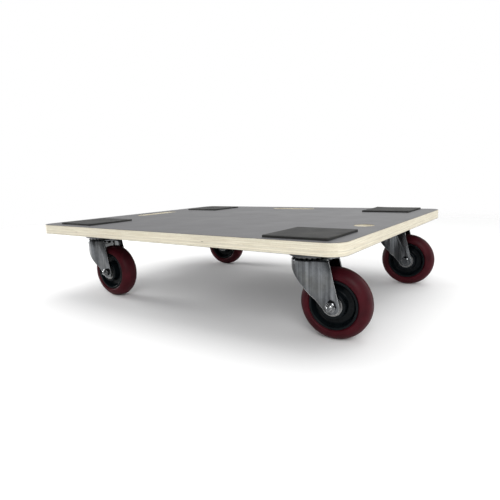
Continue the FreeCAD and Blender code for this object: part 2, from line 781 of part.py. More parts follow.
def hub(corner):
    """Moulded wheel core: rim lip, dished web and bearing boss."""
    body = new_body(corner + "_hub")
    half = (
        ("dims.hub_bore", "0"),
        ("dims.hub_bore", "dims.hub_boss_half_width - dims.bearing_width"),
        ("dims.bearing_outer", "dims.hub_boss_half_width - dims.bearing_width"),
        ("dims.bearing_outer", "dims.hub_boss_half_width"),
        ("dims.hub_boss - dims.hub_boss_chamfer", "dims.hub_boss_half_width"),
        ("dims.hub_boss", "dims.hub_boss_half_width - dims.hub_boss_chamfer"),
        ("dims.hub_boss + dims.hub_fillet", "dims.hub_web_half_width + dims.hub_fillet"),
        ("dims.hub_boss + dims.hub_boss_foot", "dims.hub_web_half_width"),
        ("dims.hub_dish - dims.hub_dish_foot", "dims.hub_web_half_width"),
        ("dims.hub_dish", "dims.hub_web_half_width + dims.hub_dish_rise"),
        ("dims.hub_lip - dims.hub_lip_chamfer", "dims.hub_lip_half_width"),
        ("dims.tread_inner - dims.hub_lip_chamfer", "dims.hub_lip_half_width"),
        ("dims.tread_inner", "dims.hub_lip_half_width - dims.hub_lip_chamfer"),
    )
    mirrored = tuple((x, "-(%s)" % y) for x, y in half[:0:-1])
    turned_section(body, half + mirrored)
    set_on_axle(body, corner)


def tread(corner):
    """Cast polyurethane tyre with a crowned running face."""
    body = new_body(corner + "_tread")
    sketch = new_sketch(body, "XZ_Plane")
    inner = number("dims.tread_inner")
    outer = number("dims.wheel_radius")
    half = number("dims.wheel_half_width")
    shoulder = number("dims.tread_shoulder")
    lip = number("dims.hub_lip_half_width - dims.hub_lip_chamfer")
    centre_x = outer - shoulder
    flat = half - shoulder
    point = FreeCAD.Vector
    corners = (
        point(centre_x, -half, 0),
        point(inner, -lip, 0),
        point(inner, lip, 0),
        point(centre_x, half, 0),
    )
    low_side, bore, high_side = (
        sketch.addGeometry(Part.LineSegment(start, finish))
        for start, finish in zip(corners, corners[1:])
    )
    high = sketch.addGeometry(
        Part.ArcOfCircle(Part.Circle(point(centre_x, flat, 0), Z_AXIS, shoulder), 0, math.pi / 2)
    )
    low = sketch.addGeometry(
        Part.ArcOfCircle(Part.Circle(point(centre_x, -flat, 0), Z_AXIS, shoulder), -math.pi / 2, 0)
    )
    crown = sketch.addGeometry(Part.LineSegment(point(outer, -flat, 0), point(outer, flat, 0)))
    joints = (
        ("Coincident", low_side, 2, bore, 1),
        ("Coincident", bore, 2, high_side, 1),
        ("Coincident", high_side, 2, high, 2),
        ("Coincident", high, 1, crown, 2),
        ("Coincident", crown, 1, low, 2),
        ("Coincident", low, 1, low_side, 1),
        ("Vertical", low, 1, low, 3),
        ("Vertical", high, 2, high, 3),
        ("Horizontal", low, 2, low, 3),
        ("Horizontal", high, 1, high, 3),
    )
    for joint in joints:
        sketch.addConstraint(Sketcher.Constraint(*joint))
    for arc, sign in ((high, ""), (low, "-")):
        place = (
            "dims.wheel_radius - dims.tread_shoulder",
            sign + "(dims.wheel_half_width - dims.tread_shoulder)",
        )
        hold_point(sketch, arc, 3, place)
        bind(sketch, Sketcher.Constraint("Radius", arc, shoulder), "dims.tread_shoulder")
    hold_point(sketch, bore, 1, ("dims.tread_inner", "-dims.hub_lip_half_width + dims.hub_lip_chamfer"))
    hold_point(sketch, bore, 2, ("dims.tread_inner", "dims.hub_lip_half_width - dims.hub_lip_chamfer"))
    turned(body, sketch)
    set_on_axle(body, corner)


def bearings(corner):
    """Pair of sealed ball bearings pressed into the ends of the hub."""
    body = new_body(corner + "_bearings")
    body.AllowCompound = True
    inner_face = "dims.hub_boss_half_width - dims.bearing_width"
    outer_face = "dims.hub_boss_half_width"
    recess = "dims.hub_boss_half_width - dims.bearing_seal_recess"
    section = (
        ("dims.bearing_inner", inner_face),
        ("dims.bearing_outer", inner_face),
        ("dims.bearing_outer", outer_face),
        ("dims.bearing_cage_outer", outer_face),
        ("dims.bearing_cage_outer", recess),
        ("dims.bearing_cage_inner", recess),
        ("dims.bearing_cage_inner", outer_face),
        ("dims.bearing_inner", outer_face),
    )
    first = turned_section(body, section)
    mirror = body.newObject("PartDesign::Mirrored", body.Name + "_pair")
    mirror.Originals = [first]
    mirror.MirrorPlane = (origin_feature(body, "XY_Plane"), [""])
    body.Tip = mirror
    set_on_axle(body, corner)


# ------------------------------------------------------------ the assembly

deck_layer("bottom_film", "dims.film_thickness", "dims.deck_height", "dims.screw_depth")
deck_layer(
    "plywood_core",
    "dims.deck_thickness - 2 * dims.film_thickness",
    "dims.deck_height + dims.film_thickness",
    "dims.screw_depth - dims.film_thickness",
)
deck_layer(
    "top_film",
    "dims.film_thickness",
    "dims.deck_height + dims.deck_thickness - dims.film_thickness",
    None,
)
plate_screws()
for corner, (side_x, side_y, _) in CORNERS.items():
    rubber_pad(corner + "_pad", side_x, side_y)
    top_plate(corner)
    kingpin(corner)
    lower_race_ring(corner)
    ball_row(
        "_upper_balls", corner, "dims.upper_race", UPPER_BALL_DROP, "dims.upper_ball", UPPER_BALLS
    )
    ball_row(
        "_lower_balls", corner, "dims.lower_race", LOWER_BALL_DROP, "dims.lower_ball", LOWER_BALLS
    )
    fork(corner)
    axle_bolt(corner)
    axle_nut(corner)
    axle_sleeve(corner)
    hub(corner)
    tread(corner)
    bearings(corner)

doc.recompute()

for item in doc.Objects:
    if "Invalid" in item.State or "Error" in item.State:
        raise RuntimeError("%s did not compute: %s" % (item.Name, item.State))
for subpart in subparts:
    shape = subpart.Shape
    if shape.isNull() or not shape.isValid():
        raise RuntimeError("%s has no valid shape" % subpart.Label)

os.makedirs("parts", exist_ok=True)
for subpart in subparts:
    subpart.Shape.exportStep("parts/%s.step" % subpart.Label)
    print("%-32s %10.1f mm3" % (subpart.Label, subpart.Shape.Volume))
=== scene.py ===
import json
import math

import bpy
from mathutils import Matrix, Vector


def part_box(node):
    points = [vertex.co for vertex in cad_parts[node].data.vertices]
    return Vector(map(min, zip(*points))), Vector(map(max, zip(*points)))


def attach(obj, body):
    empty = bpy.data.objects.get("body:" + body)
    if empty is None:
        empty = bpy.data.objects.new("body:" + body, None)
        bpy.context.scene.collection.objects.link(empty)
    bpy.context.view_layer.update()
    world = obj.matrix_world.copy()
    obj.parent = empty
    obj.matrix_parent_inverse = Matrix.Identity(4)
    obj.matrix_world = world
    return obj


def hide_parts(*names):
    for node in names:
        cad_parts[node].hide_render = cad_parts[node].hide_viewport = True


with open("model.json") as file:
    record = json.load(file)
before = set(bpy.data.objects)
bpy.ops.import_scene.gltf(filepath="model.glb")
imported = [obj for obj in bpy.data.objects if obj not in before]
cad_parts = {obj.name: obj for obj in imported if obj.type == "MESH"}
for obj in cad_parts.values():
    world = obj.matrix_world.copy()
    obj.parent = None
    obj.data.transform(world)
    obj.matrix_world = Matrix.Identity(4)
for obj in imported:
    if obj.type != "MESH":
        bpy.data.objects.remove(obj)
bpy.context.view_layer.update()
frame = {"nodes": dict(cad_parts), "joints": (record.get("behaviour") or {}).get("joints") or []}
nodes = frame["nodes"]
joints = {joint["name"]: joint for joint in frame["joints"]}
bpy.ops.object.select_all(action="DESELECT")


# ------------------------------------------------------------ plywood core
# The deck is one board of birch plywood, thirteen thin plies glued with the
# grain turned a quarter from one ply to the next. Its sawn edge and the hand
# holes are left raw, so the plies, glue lines and small core gaps show.

PLY_COUNT = 13
LONG_GRAIN = ((0.62, 0.555, 0.42, 1.0), (0.82, 0.78, 0.64, 1.0))
END_GRAIN = ((0.55, 0.475, 0.345, 1.0), (0.755, 0.71, 0.58, 1.0))
GLUE_LINE = (0.30, 0.20, 0.11, 1.0)
CORE_GAP_SHADE = (0.05, 0.034, 0.022, 1.0)


def add_node(tree, kind, inputs=None, **settings):
    """Adds a shader node. Each input is a number, a colour or another node's output."""
    made = tree.nodes.new(kind)
    for name, value in settings.items():
        setattr(made, name, value)
    for name, value in (inputs or {}).items():
        if isinstance(value, bpy.types.NodeSocket):
            tree.links.new(value, made.inputs[name])
        else:
            made.inputs[name].default_value = value
    return made


def calculate(tree, operation, *values):
    return add_node(tree, "ShaderNodeMath", dict(enumerate(values)), operation=operation).outputs[0]


def remap(tree, value, low, high, to_low=0.0, to_high=1.0):
    inputs = {0: value, 1: low, 2: high, 3: to_low, 4: to_high}
    return add_node(tree, "ShaderNodeMapRange", inputs).outputs[0]


def mix_colours(tree, share, first, second, blend="MIX"):
    inputs = {0: share, 6: first, 7: second}
    made = add_node(tree, "ShaderNodeMix", inputs, data_type="RGBA", blend_type=blend)
    return made.outputs[2]


def cloud(tree, place, size, detail=2.0, distortion=0.0):
    """Soft irregular value from 0 to 1 whose blotches are about size metres across."""
    inputs = {"Vector": place, "Scale": 1.0 / size, "Detail": detail, "Distortion": distortion}
    return add_node(tree, "ShaderNodeTexNoise", inputs).outputs["Fac"]


def stretched(tree, x, y, z):
    return add_node(tree, "ShaderNodeCombineXYZ", {0: x, 1: y, 2: z}).outputs[0]


def new_material(name):
    """A material with its Principled shader; returns it, its tree, shader and place."""
    material = bpy.data.materials.new(name)
    material.use_nodes = True
    tree = material.node_tree
    shader = tree.nodes["Principled BSDF"]
    place = tree.nodes.new("ShaderNodeTexCoord").outputs["Object"]
    return material, tree, shader, place


def add_bump(tree, shader, height, depth, strength=1.0):
    inputs = {"Height": height, "Distance": depth, "Strength": strength}
    tree.links.new(add_node(tree, "ShaderNodeBump", inputs).outputs[0], shader.inputs["Normal"])


def dress(node, material):
    for slot in nodes[node].material_slots:
        slot.material = material


core_low, core_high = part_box("plywood_core")
plywood, tree, shader, place = new_material("birch plywood")
x, y, z = add_node(tree, "ShaderNodeSeparateXYZ", {0: place}).outputs
normal = tree.nodes.new("ShaderNodeNewGeometry").outputs["Normal"]
face_x, face_y, _ = add_node(tree, "ShaderNodeSeparateXYZ", {0: normal}).outputs
on_end = calculate(
    tree, "GREATER_THAN", calculate(tree, "ABSOLUTE", face_x), calculate(tree, "ABSOLUTE", face_y)
)
run = add_node(tree, "ShaderNodeMix", {0: on_end, 2: x, 3: y}).outputs[0]
waver = remap(tree, cloud(tree, place, 0.09), 0.2, 0.8, -0.22, 0.22)
ply_pitch = (core_high.z - core_low.z) / PLY_COUNT
height_in_plies = calculate(tree, "DIVIDE", calculate(tree, "SUBTRACT", z, core_low.z), ply_pitch)
height_in_plies = calculate(tree, "ADD", height_in_plies, waver)
ply = calculate(tree, "FLOOR", height_in_plies)
within_ply = calculate(tree, "FRACT", height_in_plies)
turned_ply = calculate(tree, "MODULO", calculate(tree, "ADD", ply, 2.0), 2.0)
cross_grain = calculate(tree, "ABSOLUTE", calculate(tree, "SUBTRACT", turned_ply, on_end))
ply_shift = calculate(tree, "MULTIPLY", ply, 5.31)
streak_place = stretched(
    tree,
    calculate(tree, "DIVIDE", run, 0.035),
    ply_shift,
    calculate(tree, "DIVIDE", z, 0.0007),
)
streak = cloud(tree, streak_place, 1.0, 3.0)
pore_place = stretched(
    tree,
    calculate(tree, "DIVIDE", run, 0.0011),
    ply_shift,
    calculate(tree, "DIVIDE", z, 0.0005),
)
pore = cloud(tree, pore_place, 1.0, 2.0)
long_colour = mix_colours(tree, remap(tree, streak, 0.32, 0.6), *LONG_GRAIN)
end_colour = mix_colours(tree, remap(tree, pore, 0.3, 0.6), *END_GRAIN)
wood = mix_colours(
    tree, remap(tree, cross_grain, 0.0, 1.0, 0.0, 0.72), long_colour, end_colour
)
ply_tone = add_node(tree, "ShaderNodeTexWhiteNoise", {"W": ply}, noise_dimensions="1D").outputs[0]
board_tone = cloud(tree, place, 0.11, 3.0)
tone = calculate(
    tree,
    "MULTIPLY",
    remap(tree, ply_tone, 0.0, 1.0, 0.90, 1.05),
    remap(tree, board_tone, 0.3, 0.7, 0.93, 1.04),
)
wood = mix_colours(tree, 1.0, wood, stretched(tree, tone, tone, tone), "MULTIPLY")
from_middle = calculate(tree, "ABSOLUTE", calculate(tree, "SUBTRACT", within_ply, 0.5))
glue = calculate(
    tree,
    "MULTIPLY",
    remap(tree, from_middle, 0.40, 0.48),
    remap(tree, streak, 0.3, 0.7, 0.34, 0.06),
)
wood = mix_colours(tree, glue, wood, GLUE_LINE)
# Core gaps are small real voids, pressed in by the bump; their near-black colour is painted shade
# for the dark inside them.
gap_place = stretched(
    tree, calculate(tree, "DIVIDE", run, 0.016), calculate(tree, "MULTIPLY", ply, 9.7), 0.0
)
gap = calculate(
    tree,
    "MULTIPLY",
    remap(tree, cloud(tree, gap_place, 1.0, 1.0), 0.735, 0.75),
    remap(tree, from_middle, 0.20, 0.34, 1.0, 0.0),
)
gap = calculate(tree, "MULTIPLY", gap, cross_grain)
wood = mix_colours(tree, calculate(tree, "MULTIPLY", gap, 0.85), wood, CORE_GAP_SHADE)
tree.links.new(wood, shader.inputs["Base Color"])
tree.links.new(remap(tree, streak, 0.2, 0.8, 0.72, 0.56), shader.inputs["Roughness"])
sawn = calculate(tree, "SUBTRACT", calculate(tree, "MULTIPLY", pore, 0.35), gap)
sawn = calculate(tree, "SUBTRACT", sawn, calculate(tree, "MULTIPLY", glue, 0.8))
add_bump(tree, shader, sawn, 0.00025, 0.6)
shader.inputs["Specular IOR Level"].default_value = 0.35
dress("plywood_core", plywood)


# ------------------------------------------------------------- deck films
# A hard grey phenolic film is pressed on both faces of the board. It is smooth
# with a satin sheen, shows the veneer's long grain a little, and carries the
# faint scuffs and dust of handling.

FILM_DARK = (0.058, 0.058, 0.063, 1.0)
FILM_LIGHT = (0.088, 0.087, 0.092, 1.0)
FILM_SCUFF = (0.24, 0.24, 0.24, 1.0)
FILM_EDGE = (0.030, 0.020, 0.014, 1.0)


def shader_group(name, inputs, outputs):
    """An empty node group with named number and vector sockets, and its two ends."""
    group = bpy.data.node_groups.new(name, "ShaderNodeTree")
    for label, kind, value in inputs:
        socket = group.interface.new_socket(label, in_out="INPUT", socket_type=kind)
        if value is not None:
            socket.default_value = value
    for label in outputs:
        group.interface.new_socket(label, in_out="OUTPUT", socket_type="NodeSocketFloat")
    given = group.nodes.new("NodeGroupInput").outputs
    return group, given, group.nodes.new("NodeGroupOutput").inputs


def use_group(tree, group, **inputs):
    made = add_node(tree, "ShaderNodeGroup", node_tree=group)
    for name, value in inputs.items():
        socket = made.inputs[name.replace("_", " ")]
        if isinstance(value, bpy.types.NodeSocket):
            tree.links.new(value, socket)
        else:
            socket.default_value = value
    return made.outputs


# Dust settles in blotches, thickest on what faces up.
dust_group, given, result = shader_group(
    "settled dust",
    (("Place", "NodeSocketVector", None), ("Amount", "NodeSocketFloat", 0.3)),
    ("Dust",),
)
blotch = cloud(dust_group, given["Place"], 0.045, 5.0)
speck = cloud(dust_group, given["Place"], 0.0022, 2.0)
up = add_node(
    dust_group,
    "ShaderNodeSeparateXYZ",
    {0: dust_group.nodes.new("ShaderNodeNewGeometry").outputs["Normal"]},
).outputs[2]
dust = calculate(
    dust_group,
    "MULTIPLY",
    remap(dust_group, blotch, 0.38, 0.72),
    remap(dust_group, speck, 0.30, 0.62, 0.45, 1.0),
)
dust = calculate(dust_group, "MULTIPLY", dust, remap(dust_group, up, -0.4, 0.9, 0.25, 1.0))
dust = calculate(dust_group, "MULTIPLY", dust, given["Amount"])
dust_group.links.new(dust, result["Dust"])

# Scuffs are thin curved lines that come in patches.
scuff_group, given, result = shader_group(
    "scuff marks",
    (
        ("Place", "NodeSocketVector", None),
        ("Line width", "NodeSocketFloat", 0.006),
        ("Amount", "NodeSocketFloat", 0.5),
    ),
    ("Scuff",),
)
line = cloud(scuff_group, given["Place"], 0.11, 1.0, 1.3)
off_line = calculate(scuff_group, "ABSOLUTE", calculate(scuff_group, "SUBTRACT", line, 0.5))
on_line = calculate(scuff_group, "LESS_THAN", off_line, given["Line width"])
patch = remap(scuff_group, cloud(scuff_group, given["Place"], 0.07, 2.0), 0.55, 0.70)
broken = remap(scuff_group, cloud(scuff_group, given["Place"], 0.004, 2.0), 0.35, 0.6)
scuff = calculate(scuff_group, "MULTIPLY", on_line, patch)
scuff = calculate(scuff_group, "MULTIPLY", scuff, broken)
scuff_group.links.new(
    calculate(scuff_group, "MULTIPLY", scuff, given["Amount"]), result["Scuff"]
)

film, tree, shader, place = new_material("phenolic film")
x, y, _ = add_node(tree, "ShaderNodeSeparateXYZ", {0: place}).outputs
veneer_place = stretched(
    tree, calculate(tree, "DIVIDE", x, 0.22), calculate(tree, "DIVIDE", y, 0.006), 0.0
)
veneer = cloud(tree, veneer_place, 1.0, 4.0)
mottle = cloud(tree, place, 0.13, 4.0)
shade = calculate(
    tree,
    "ADD",
    remap(tree, mottle, 0.3, 0.7, 0.0, 0.65),
    remap(tree, veneer, 0.3, 0.7, 0.0, 0.35),
)
colour = mix_colours(tree, shade, FILM_DARK, FILM_LIGHT)
dust = use_group(tree, dust_group, Place=place, Amount=0.10)["Dust"]
scuff = use_group(tree, scuff_group, Place=place, Line_width=0.004, Amount=0.35)["Scuff"]
colour = mix_colours(tree, calculate(tree, "ADD", dust, scuff), colour, FILM_SCUFF)
upright = add_node(
    tree,
    "ShaderNodeSeparateXYZ",
    {0: tree.nodes.new("ShaderNodeNewGeometry").outputs["Normal"]},
).outputs[2]
sawn_edge = calculate(tree, "LESS_THAN", calculate(tree, "ABSOLUTE", upright), 0.5)
colour = mix_colours(tree, sawn_edge, colour, FILM_EDGE)
tree.links.new(colour, shader.inputs["Base Color"])
rough = remap(tree, mottle, 0.3, 0.7, 0.38, 0.46)
rough = calculate(tree, "ADD", rough, calculate(tree, "MULTIPLY", dust, 0.8))
tree.links.new(rough, shader.inputs["Roughness"])
shader.inputs["Specular IOR Level"].default_value = 0.5
peel = calculate(
    tree,
    "ADD",
    calculate(tree, "MULTIPLY", cloud(tree, place, 0.0014, 2.0), 0.30),
    calculate(tree, "MULTIPLY", veneer, 0.70),
)
add_bump(tree, shader, peel, 0.00006, 0.5)
for node in ("top_film", "bottom_film"):
    dress(node, film)


# ------------------------------------------------------------- rubber pads
# Four pads of black sheet rubber, cut with a knife and glued near the corners
# so that a load doesn't slide. The cut rim is a little uneven, the face has a
# fine pebbled skin, and three of the pads have a corner that begins to lift.

MM = 0.001
PAD_CORNER_CUT = 1.6 * MM
PAD_RIM = 0.5 * MM
PAD_CELL = 7.0 * MM
SLIP_SPREAD = 22.0 * MM
LIFT_SPREAD = 30.0 * MM
CORNERS = ("front_left", "front_right", "back_left", "back_right")

rubber, tree, shader, place = new_material("pad rubber")
pebble = add_node(
    tree, "ShaderNodeTexVoronoi", {"Vector": place, "Scale": 1.0 / 0.0016}, feature="SMOOTH_F1"
).outputs["Distance"]
pebble_soft = cloud(tree, place, 0.0009, 2.0)
worn = cloud(tree, place, 0.028, 4.0)
colour = mix_colours(
    tree, remap(tree, worn, 0.3, 0.7), (0.013, 0.013, 0.013, 1.0), (0.023, 0.023, 0.022, 1.0)
)
dust = use_group(tree, dust_group, Place=place, Amount=0.22)["Dust"]
colour = mix_colours(tree, dust, colour, (0.17, 0.168, 0.155, 1.0))
tree.links.new(colour, shader.inputs["Base Color"])
tree.links.new(remap(tree, worn, 0.3, 0.7, 0.62, 0.74), shader.inputs["Roughness"])
skin = calculate(tree, "ADD", pebble, calculate(tree, "MULTIPLY", pebble_soft, 0.5))
add_bump(tree, shader, skin, 0.00016, 0.7)
shader.inputs["Specular IOR Level"].default_value = 0.26


def open_for_editing(piece):
    bpy.ops.object.select_all(action="DESELECT")
    piece.select_set(True)
    bpy.context.view_layer.objects.active = piece
    bpy.ops.object.mode_set(mode="EDIT")
    bpy.ops.mesh.select_mode(type="VERT")
    bpy.ops.mesh.select_all(action="SELECT")


def select_in_edit(piece, kind, wanted):
    """Selects the mesh's vertices, edges or faces for which wanted says yes."""
    bpy.ops.mesh.select_mode(type=kind)
    bpy.ops.mesh.select_all(action="DESELECT")
    bpy.ops.object.mode_set(mode="OBJECT")
    chosen = {"VERT": "vertices", "EDGE": "edges", "FACE": "polygons"}[kind]
    for item in getattr(piece.data, chosen):
        item.select = bool(wanted(item))
    bpy.ops.object.mode_set(mode="EDIT")


def smooth_by_angle(piece, degrees):
    bpy.ops.object.select_all(action="DESELECT")
    piece.select_set(True)
    bpy.context.view_layer.objects.active = piece
    bpy.ops.object.shade_smooth_by_angle(angle=math.radians(degrees))


def give_material(piece, material):
    piece.data.materials.clear()
    piece.data.materials.append(material)


def rubber_pad(corner, knife_slips, lift):
    """knife_slips move the rim sideways at places along it; lift raises one corner."""
    low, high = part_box(corner + "_pad")
    middle = (low + high) / 2
    bpy.ops.mesh.primitive_plane_add(size=1.0, location=(middle.x, middle.y, low.z))
    pad = bpy.context.object
    pad.name = corner + "_rubber_pad"
    pad.scale = (high.x - low.x, high.y - low.y, 1.0)
    bpy.ops.object.transform_apply(location=True, rotation=True, scale=True)
    open_for_editing(pad)
    bpy.ops.mesh.bevel(offset=PAD_CORNER_CUT, segments=3, affect="VERTICES")
    bpy.ops.mesh.extrude_region_move(TRANSFORM_OT_translate={"value": (0, 0, high.z - low.z)})
    bpy.ops.mesh.select_all(action="SELECT")
    bpy.ops.mesh.normals_make_consistent(inside=False)
    select_in_edit(pad, "FACE", lambda face: face.normal.z > 0.9)
    bpy.ops.mesh.bevel(offset=PAD_RIM, segments=2, affect="EDGES")
    for axis, start, end in (((1, 0, 0), low.x, high.x), ((0, 1, 0), low.y, high.y)):
        cells = round((end - start) / PAD_CELL)
        for step in range(1, cells):
            reach = start + (end - start) * step / cells
            bpy.ops.mesh.select_all(action="SELECT")
            bpy.ops.mesh.bisect(plane_co=Vector(axis) * reach, plane_no=axis)
    for (share_x, share_y), slip in knife_slips:
        spot = Vector((low.x + share_x * (high.x - low.x), low.y + share_y * (high.y - low.y), 0))
        select_in_edit(
            pad, "VERT", lambda vertex: (vertex.co.xy - spot.xy).length < 0.6 * PAD_CELL
        )
        bpy.ops.transform.translate(
            value=Vector(slip) * MM,
            use_proportional_edit=True,
            proportional_edit_falloff="SMOOTH",
            proportional_size=SLIP_SPREAD,
        )
    if lift:
        share_x, share_y, rise = lift
        spot = Vector((low.x + share_x * (high.x - low.x), low.y + share_y * (high.y - low.y), 0))
        select_in_edit(pad, "VERT", lambda vertex: (vertex.co.xy - spot.xy).length < PAD_CELL)
        bpy.ops.transform.translate(
            value=(0, 0, rise * MM),
            use_proportional_edit=True,
            proportional_edit_falloff="SHARP",
            proportional_size=LIFT_SPREAD,
        )
    bpy.ops.object.mode_set(mode="OBJECT")
    give_material(pad, rubber)
    smooth_by_angle(pad, 35)
    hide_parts(corner + "_pad")
    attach(pad, "platform")


rubber_pad(
    "front_left",
    (((0.3, 0.0), (0, 0.5, 0)), ((1.0, 0.55), (0.6, 0, 0)), ((0.6, 1.0), (0, -0.5, 0))),
    (0.0, 0.0, 0.6),
)
rubber_pad(
    "front_right",
    (((0.25, 0.0), (0, -0.9, 0)), ((0.75, 0.0), (0, 0.7, 0)), ((0.0, 0.5), (0.7, 0, 0))),
    (1.0, 0.0, 0.5),
)
rubber_pad(
    "back_left",
    (((0.5, 0.0), (0, -0.5, 0)), ((1.0, 0.4), (0.5, 0, 0))),
    None,
)
rubber_pad(
    "back_right",
    (((0.4, 0.0), (0, 0.6, 0)), ((0.0, 0.6), (-0.6, 0, 0))),
    (0.0, 1.0, 0.7),
)


# ------------------------------------------------- zinc-plated steel parts
# Plates, forks, race rings, kingpins, bolts and screws are mild steel with
# bright zinc plating. The plating is smooth and bluish, faintly clouded by the
# bath, and thin on the sheared edges, which are painted much paler: partly
# worn plating, partly a painted highlight. The forks also carry painted
# upright reflection bands.

ZINC_DULL = (0.078, 0.083, 0.089, 1.0)
ZINC_BRIGHT = (0.150, 0.157, 0.165, 1.0)
ZINC_TINT = (0.14, 0.137, 0.118, 1.0)
ZINC_EDGE_WEAR_AND_HIGHLIGHT = (0.86, 0.87, 0.87, 1.0)
GREASED_DULL = (0.10, 0.10, 0.10, 1.0)
GREASED_BRIGHT = (0.24, 0.24, 0.235, 1.0)
EDGE_REACH = 0.9 * MM
REFLECTION_BAND_WIDTH = 4.5 * MM
REFLECTION_BAND_LENGTH = 150.0 * MM

# Edges are painted pale, partly as rubbed plating and partly as a painted highlight: the mask is 1
# where the surface turns within a short reach.
wear_and_highlight_group, given, result = shader_group(
    "edge wear",
    (
        ("Place", "NodeSocketVector", None),
        ("Reach", "NodeSocketFloat", 0.0006),
        ("Amount", "NodeSocketFloat", 0.6),
    ),
    ("Wear",),
)
rounded = add_node(wear_and_highlight_group, "ShaderNodeBevel", {"Radius": given["Reach"]}, samples=4).outputs[0]
flat = wear_and_highlight_group.nodes.new("ShaderNodeNewGeometry").outputs["Normal"]
agreement = add_node(
    wear_and_highlight_group, "ShaderNodeVectorMath", {0: rounded, 1: flat}, operation="DOT_PRODUCT"
).outputs["Value"]
patchy = remap(wear_and_highlight_group, cloud(wear_and_highlight_group, given["Place"], 0.006, 3.0), 0.35, 0.65, 0.35, 1.0)
wear_and_highlight = calculate(
    wear_and_highlight_group, "MULTIPLY", remap(wear_and_highlight_group, agreement, 0.995, 0.93), patchy
)
wear_and_highlight_group.links.new(calculate(wear_and_highlight_group, "MULTIPLY", wear_and_highlight, given["Amount"]), result["Wear"])


def plated_steel(name, dull, bright, smoothness, drawn=0.0, rim=0.7):
    """drawn sets the depth of painted upright reflection bands; rim sets how pale the edges are
    painted, as wear and painted highlight.
    """
    material, tree, shader, place = new_material(name)
    bath = cloud(tree, place, 0.021, 4.0)
    spangle = add_node(
        tree, "ShaderNodeTexVoronoi", {"Vector": place, "Scale": 1.0 / 0.0035}
    ).outputs["Color"]
    spangle = add_node(tree, "ShaderNodeSeparateColor", {0: spangle}).outputs[0]
    shade = calculate(
        tree,
        "ADD",
        remap(tree, bath, 0.3, 0.7, 0.0, 0.75),
        calculate(tree, "MULTIPLY", spangle, 0.25),
    )
    colour = mix_colours(tree, shade, dull, bright)
    tint = remap(tree, cloud(tree, place, 0.035, 2.0), 0.5, 0.8, 0.0, 0.35)
    colour = mix_colours(tree, tint, colour, ZINC_TINT)
    x, y, z = add_node(tree, "ShaderNodeSeparateXYZ", {0: place}).outputs
    # Long upright bands that darken and lighten the colour are painted reflection bands, not marks
    # of a die.
    streak_place = stretched(
        tree,
        calculate(tree, "DIVIDE", x, REFLECTION_BAND_WIDTH),
        calculate(tree, "DIVIDE", y, REFLECTION_BAND_WIDTH),
        calculate(tree, "DIVIDE", z, REFLECTION_BAND_LENGTH),
    )
    streak = cloud(tree, streak_place, 1.0, 3.0, 0.4)
    tone = remap(tree, streak, 0.3, 0.7, 1.0 - drawn, 1.0 + drawn)
    colour = mix_colours(tree, 1.0, colour, stretched(tree, tone, tone, tone), "MULTIPLY")
    wear_and_highlight = use_group(tree, wear_and_highlight_group, Place=place, Reach=EDGE_REACH, Amount=rim)["Wear"]
    colour = mix_colours(tree, wear_and_highlight, colour, ZINC_EDGE_WEAR_AND_HIGHLIGHT)
    tree.links.new(colour, shader.inputs["Base Color"])
    grain = cloud(tree, place, 0.0007, 2.0)
    rough = remap(tree, bath, 0.3, 0.7, smoothness, smoothness + 0.08)
    rough = calculate(tree, "ADD", rough, remap(tree, grain, 0.3, 0.7, -0.02, 0.03))
    tree.links.new(rough, shader.inputs["Roughness"])
    shader.inputs["Metallic"].default_value = 1.0
    height = calculate(tree, "ADD", calculate(tree, "MULTIPLY", grain, 0.5), bath)
    add_bump(tree, shader, height, 0.00005, 0.6)
    return material


# Every plated part gets pale painted edges, part wear and part painted highlight; the forks also
# get painted upright reflection bands.
zinc = plated_steel("bright zinc", ZINC_DULL, ZINC_BRIGHT, 0.15)
zinc_with_painted_bands = plated_steel("drawn bright zinc", ZINC_DULL, ZINC_BRIGHT, 0.13, drawn=0.45, rim=1.0)
ball_steel = plated_steel("greased steel", GREASED_DULL, GREASED_BRIGHT, 0.30)
dress("plate_screws", zinc)
for corner in CORNERS:
    for part in ("_top_plate", "_kingpin", "_lower_race_ring", "_axle_sleeve"):
        dress(corner + part, zinc)
    for part in ("_upper_balls", "_lower_balls", "_bearings"):
        dress(corner + part, ball_steel)


# -------------------------------------------------------------- the forks
# Each fork is one pressing from 2.8 mm sheet: the crown wraps round the front
# of the swivel and falls away in two legs that carry the axle. Pressing leaves
# the sheared rim a little rounded.

SHEARED_RIM = 0.4 * MM


def softened_copy(node, name, width):
    """A copy of a CAD piece with its sharp edges rounded over by width."""
    piece = bpy.data.objects.new(name, nodes[node].data.copy())
    bpy.context.scene.collection.objects.link(piece)
    open_for_editing(piece)
    bpy.ops.mesh.remove_doubles(threshold=0.001 * MM)
    bpy.ops.mesh.dissolve_limited(angle_limit=math.radians(0.5))
    bpy.ops.object.mode_set(mode="OBJECT")
    bpy.ops.mesh.customdata_custom_splitnormals_clear()
    rounding = piece.modifiers.new("rounded rim", "BEVEL")
    rounding.width = width
    rounding.segments = 2
    rounding.limit_method = "ANGLE"
    rounding.angle_limit = math.radians(50)
    bpy.ops.object.modifier_apply(modifier=rounding.name)
    smooth_by_angle(piece, 40)
    return piece


for corner in CORNERS:
    pressing = softened_copy(corner + "_fork", corner + "_pressed_fork", SHEARED_RIM)
    give_material(pressing, zinc_with_painted_bands)
    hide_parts(corner + "_fork")
    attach(pressing, corner + "_swivel")


# ------------------------------------------------------------- the wheels
# A black moulded hub with a dished web carries a maroon polyurethane tyre cast
# round it. The tyre has full round shoulders, a faint parting line round the
# middle and a thin bond line against the hub.

WHEEL_RADIUS = 50.0
WHEEL_STEPS = 128
SHOULDER = 13.5
HALF_TYRE = 16.0
TYRE_BORE = 34.55
HUB_RIM = 34.45
HUB_BORE = 9.0
BEARING_SEAT = 14.0
HUB_STEPS = 96


